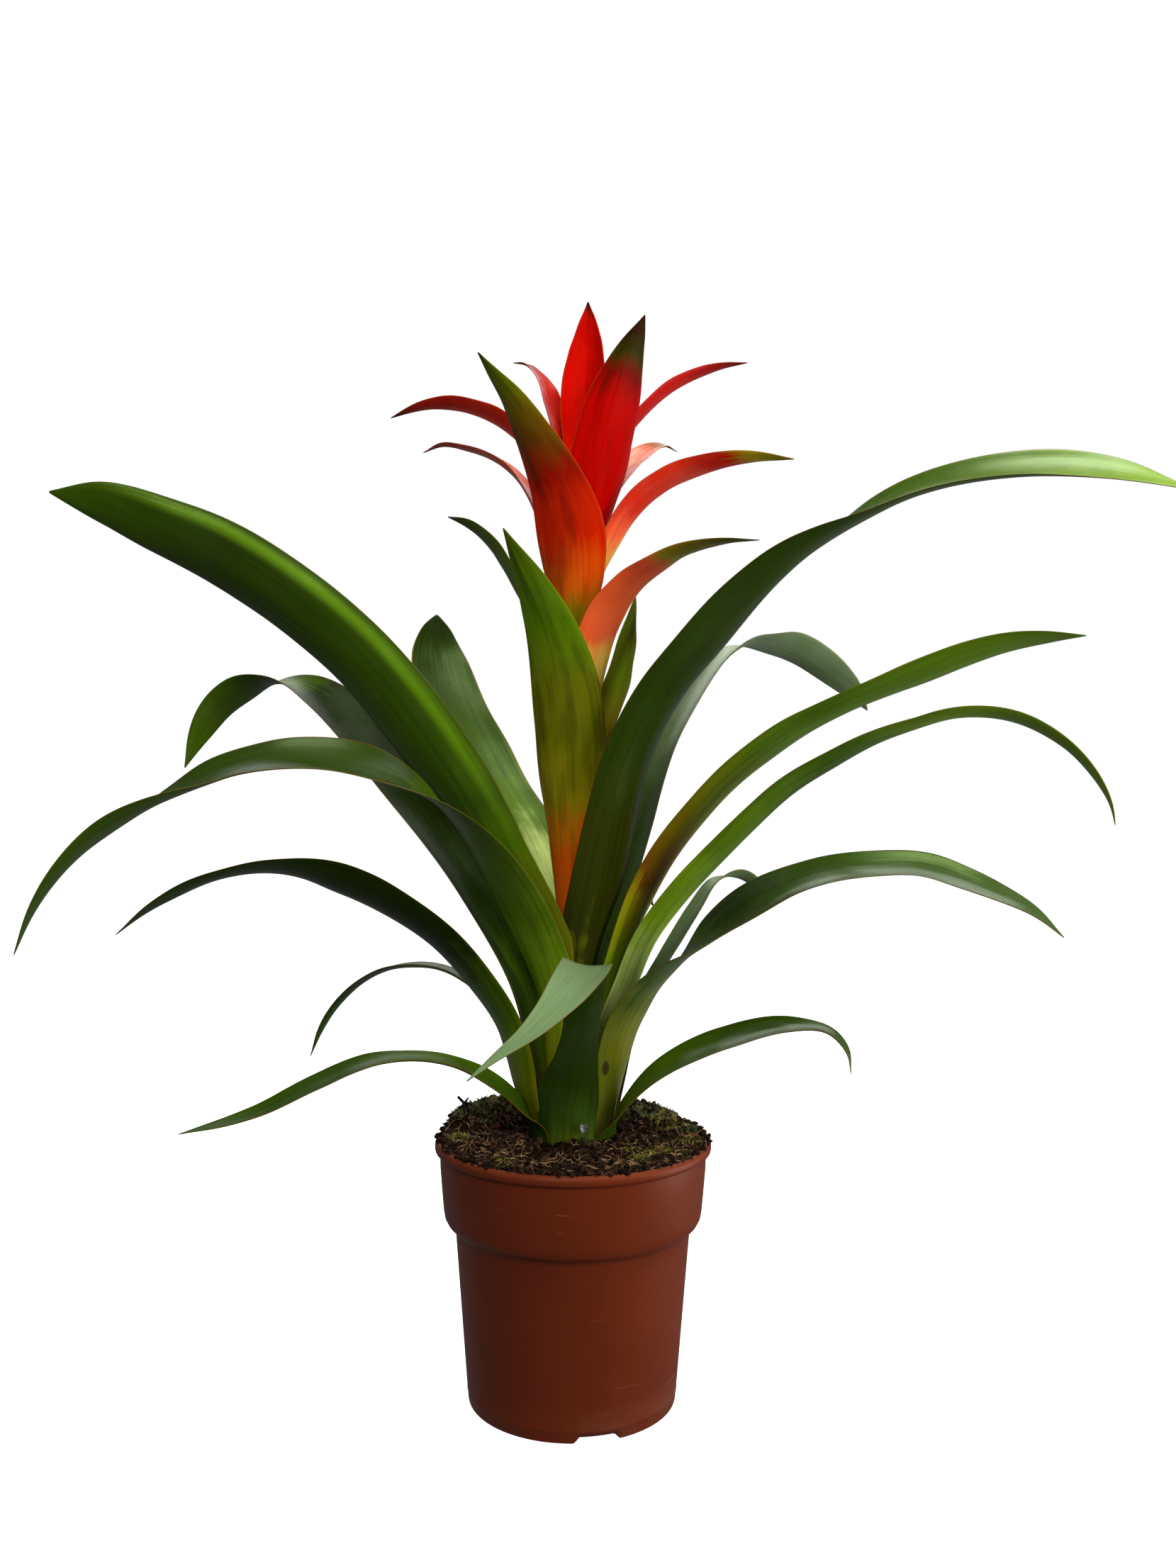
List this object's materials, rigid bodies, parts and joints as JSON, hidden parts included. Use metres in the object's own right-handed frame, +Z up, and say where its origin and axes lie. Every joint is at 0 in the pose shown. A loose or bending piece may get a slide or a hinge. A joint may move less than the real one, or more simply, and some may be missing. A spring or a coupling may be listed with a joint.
{
  "type": "potted guzmania bromeliad",
  "caption": "Bromeliad with arching strap leaves in a rosette and an upright spike of red and green bracts, growing in soil in a round tapered nursery pot.",
  "frame": {"origin": "on the floor under the pot's axis, which is the middle of the plant's spread", "axes": "+Z up along the pot's axis and the flower stalk, -Y towards the viewer of the picture, +X to the viewer's right"},
  "size_m": [0.4326, 0.2644, 0.481],
  "materials": {
    "pot_plastic": "matte",
    "potting_soil": "matte",
    "stem_tissue": "satin",
    "leaf_green": "satin",
    "bract_green": "satin",
    "bract_red": "satin"
  },
  "bodies": {
    "root": {"pot": "pot_plastic", "soil": "potting_soil", "stem": "stem_tissue", "leaf_right_tallest": "leaf_green", "leaf_left_tallest": "leaf_green", "leaf_back_left_upright": "leaf_green", "leaf_back_right_arching": "leaf_green", "leaf_right_upper": "leaf_green", "leaf_front_left_arching": "leaf_green", "leaf_left_back": "leaf_green", "leaf_right_middle": "leaf_green", "leaf_back_middle": "leaf_green", "leaf_left_back_small": "leaf_green", "leaf_right_back_small": "leaf_green", "leaf_left_middle": "leaf_green", "leaf_front_right_middle": "leaf_green", "leaf_back_right_low": "leaf_green", "leaf_front_folded": "leaf_green", "leaf_left_lowest": "leaf_green", "leaf_right_lowest": "leaf_green", "leaf_back_lowest": "leaf_green", "bract_front_lowest": "bract_green", "bract_back_lowest": "bract_green", "bract_right_back_low": "bract_green", "bract_back_left_low": "bract_green", "bract_right_low": "bract_red", "bract_left_low": "bract_green", "bract_back_middle": "bract_red", "bract_front_left": "bract_red", "bract_right_middle": "bract_red", "bract_left_middle": "bract_red", "bract_front_right": "bract_red", "bract_back_right": "bract_red", "bract_left_top": "bract_red", "bract_right_top": "bract_red", "bract_back_left_top": "bract_red", "bract_top": "bract_red"}
  },
  "joints": []
}
